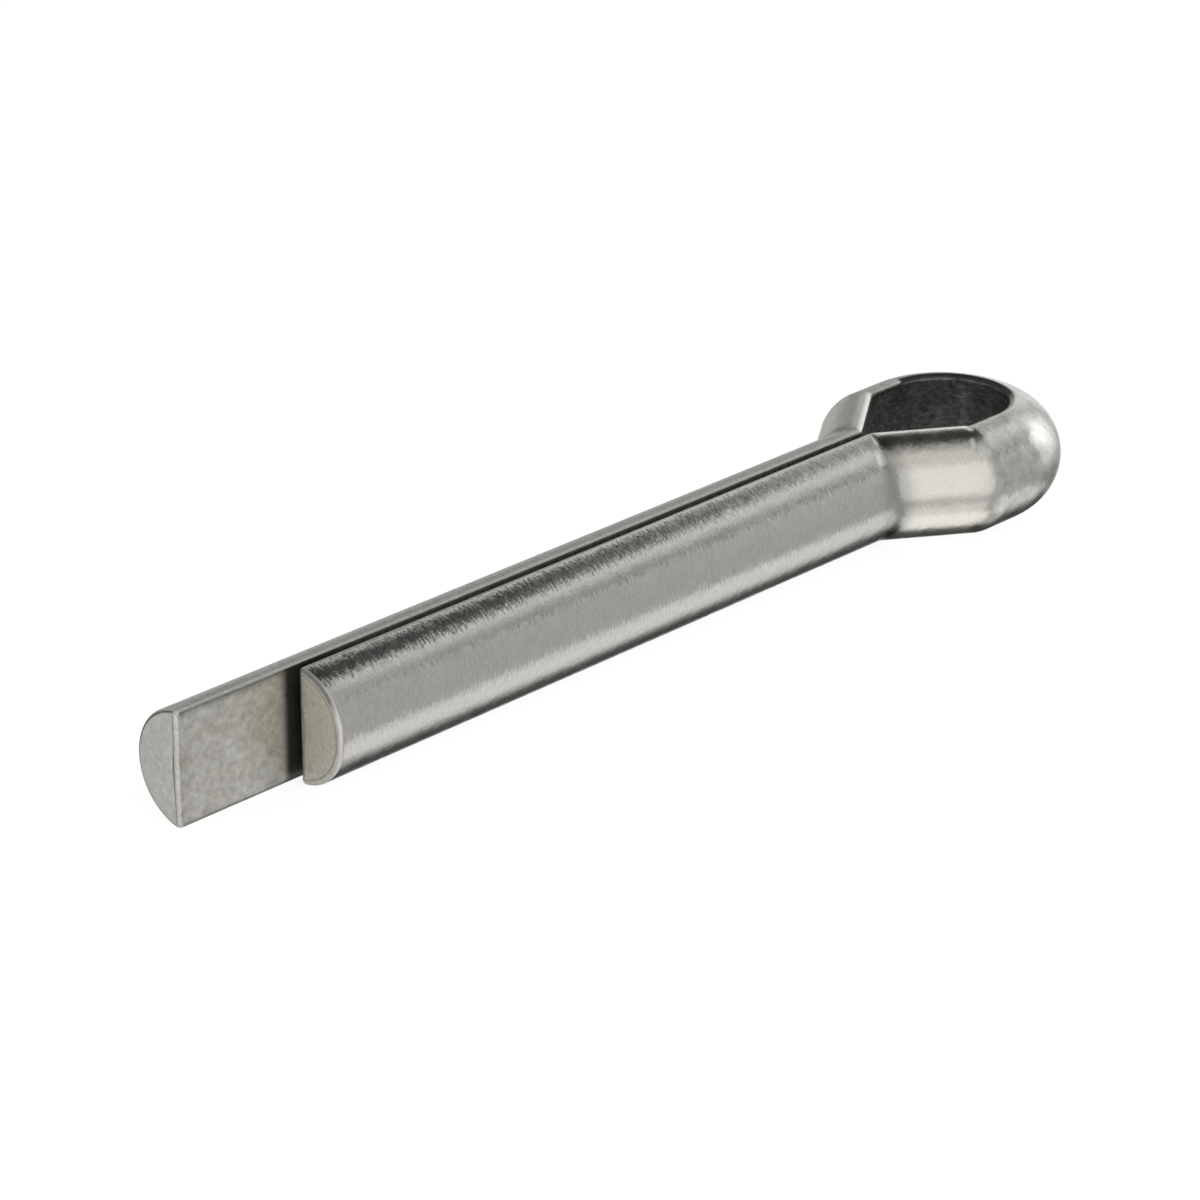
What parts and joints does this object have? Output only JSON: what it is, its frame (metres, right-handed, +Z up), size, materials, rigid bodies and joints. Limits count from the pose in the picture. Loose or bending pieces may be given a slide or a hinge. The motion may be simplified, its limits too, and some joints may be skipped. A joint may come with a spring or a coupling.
{
  "type": "cotter pin",
  "caption": "Split cotter pin folded from half-round wire, with a round-ended eye above angled shoulders and straight, square-cut prongs of unequal length lying flat to flat.",
  "frame": {"origin": "on the shank's axis, where the two folds under the eye begin", "axes": "+X along the shank towards the eye, +Y across the slit towards the extended prong, +Z up through the eye's opening; the pin lies on its side, on the plane z = -1.355 mm"},
  "size_m": [0.0273, 0.0056, 0.0028],
  "materials": {
    "steel_wire": "bright drawn steel wire, fine marks across its round side, slightly stained flats"
  },
  "bodies": {
    "root": {"cotter_pin": "steel_wire"}
  },
  "joints": []
}
